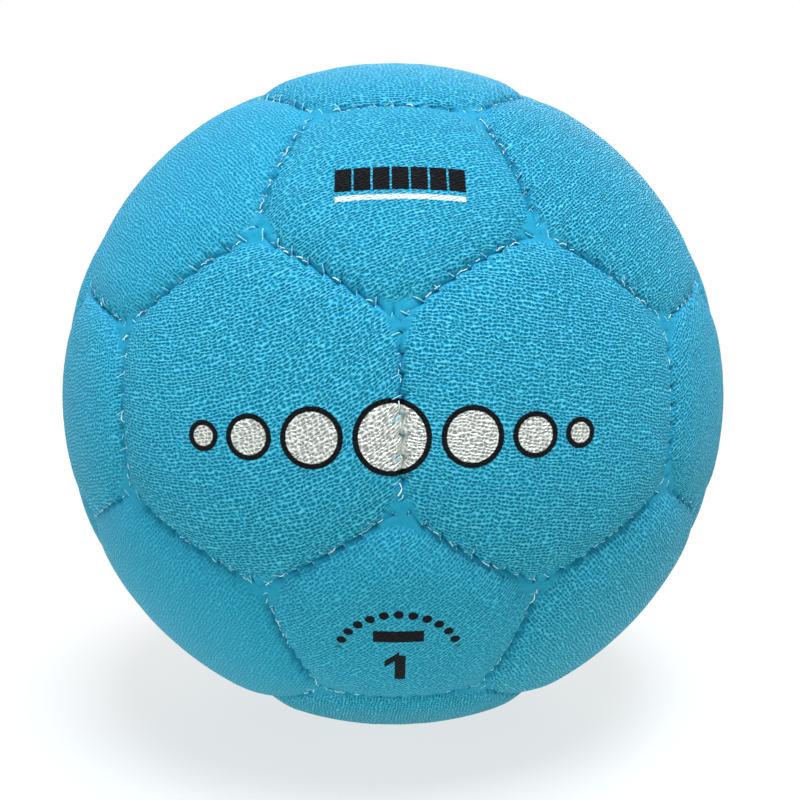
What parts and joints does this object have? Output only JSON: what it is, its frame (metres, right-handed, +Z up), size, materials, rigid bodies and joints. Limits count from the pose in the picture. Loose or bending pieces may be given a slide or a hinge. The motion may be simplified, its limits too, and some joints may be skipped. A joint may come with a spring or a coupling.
{
  "type": "handball",
  "caption": "Sky-blue hand-sewn handball: pebbled pentagon and hexagon panels with turned-in sewn edges, cloth linings, a rubber bladder and a needle valve.",
  "frame": {"origin": "centre of the ball", "axes": "+Z up, -Y towards the front, where two hexagons meet at an upright seam; each axis leaves the ball at the middle of a seam between two hexagons"},
  "size_m": [0.1618, 0.1618, 0.1618],
  "materials": {
    "cover": "matt pebbled synthetic leather, sky blue",
    "lining": "plain woven cloth, undyed",
    "patch": "plain woven cloth",
    "bladder": "smooth black rubber",
    "valve_rubber": "satin off-white rubber",
    "core_rubber": "satin black rubber"
  },
  "bodies": {
    "root": {"pentagon_front_bottom": "cover", "pentagon_left_front": "cover", "pentagon_bottom_left": "cover", "pentagon_front_top": "cover", "pentagon_left_back": "cover", "pentagon_bottom_right": "cover", "pentagon_back_bottom": "cover", "pentagon_right_front": "cover", "pentagon_top_left": "cover", "pentagon_back_top": "cover", "pentagon_right_back": "cover", "pentagon_top_right": "cover", "hexagon_front_left": "cover", "hexagon_left_lower": "cover", "hexagon_bottom_front": "cover", "hexagon_left_front_bottom": "cover", "hexagon_right_front_bottom": "cover", "hexagon_front_right": "cover", "hexagon_left_upper": "cover", "hexagon_bottom_back": "cover", "hexagon_left_front_top": "cover", "hexagon_right_front_top": "cover", "hexagon_back_left": "cover", "hexagon_right_lower": "cover", "hexagon_top_front": "cover", "hexagon_left_back_bottom": "cover", "hexagon_right_back_bottom": "cover", "hexagon_right_upper": "cover", "hexagon_top_back": "cover", "hexagon_left_back_top": "cover", "hexagon_right_back_top": "cover", "valve_panel": "cover", "pentagon_linings": "lining", "hexagon_linings": "lining", "valve_lining": "lining", "valve_patch": "patch", "bladder": "bladder", "valve_boot": "valve_rubber", "valve_core": "core_rubber"}
  },
  "joints": []
}
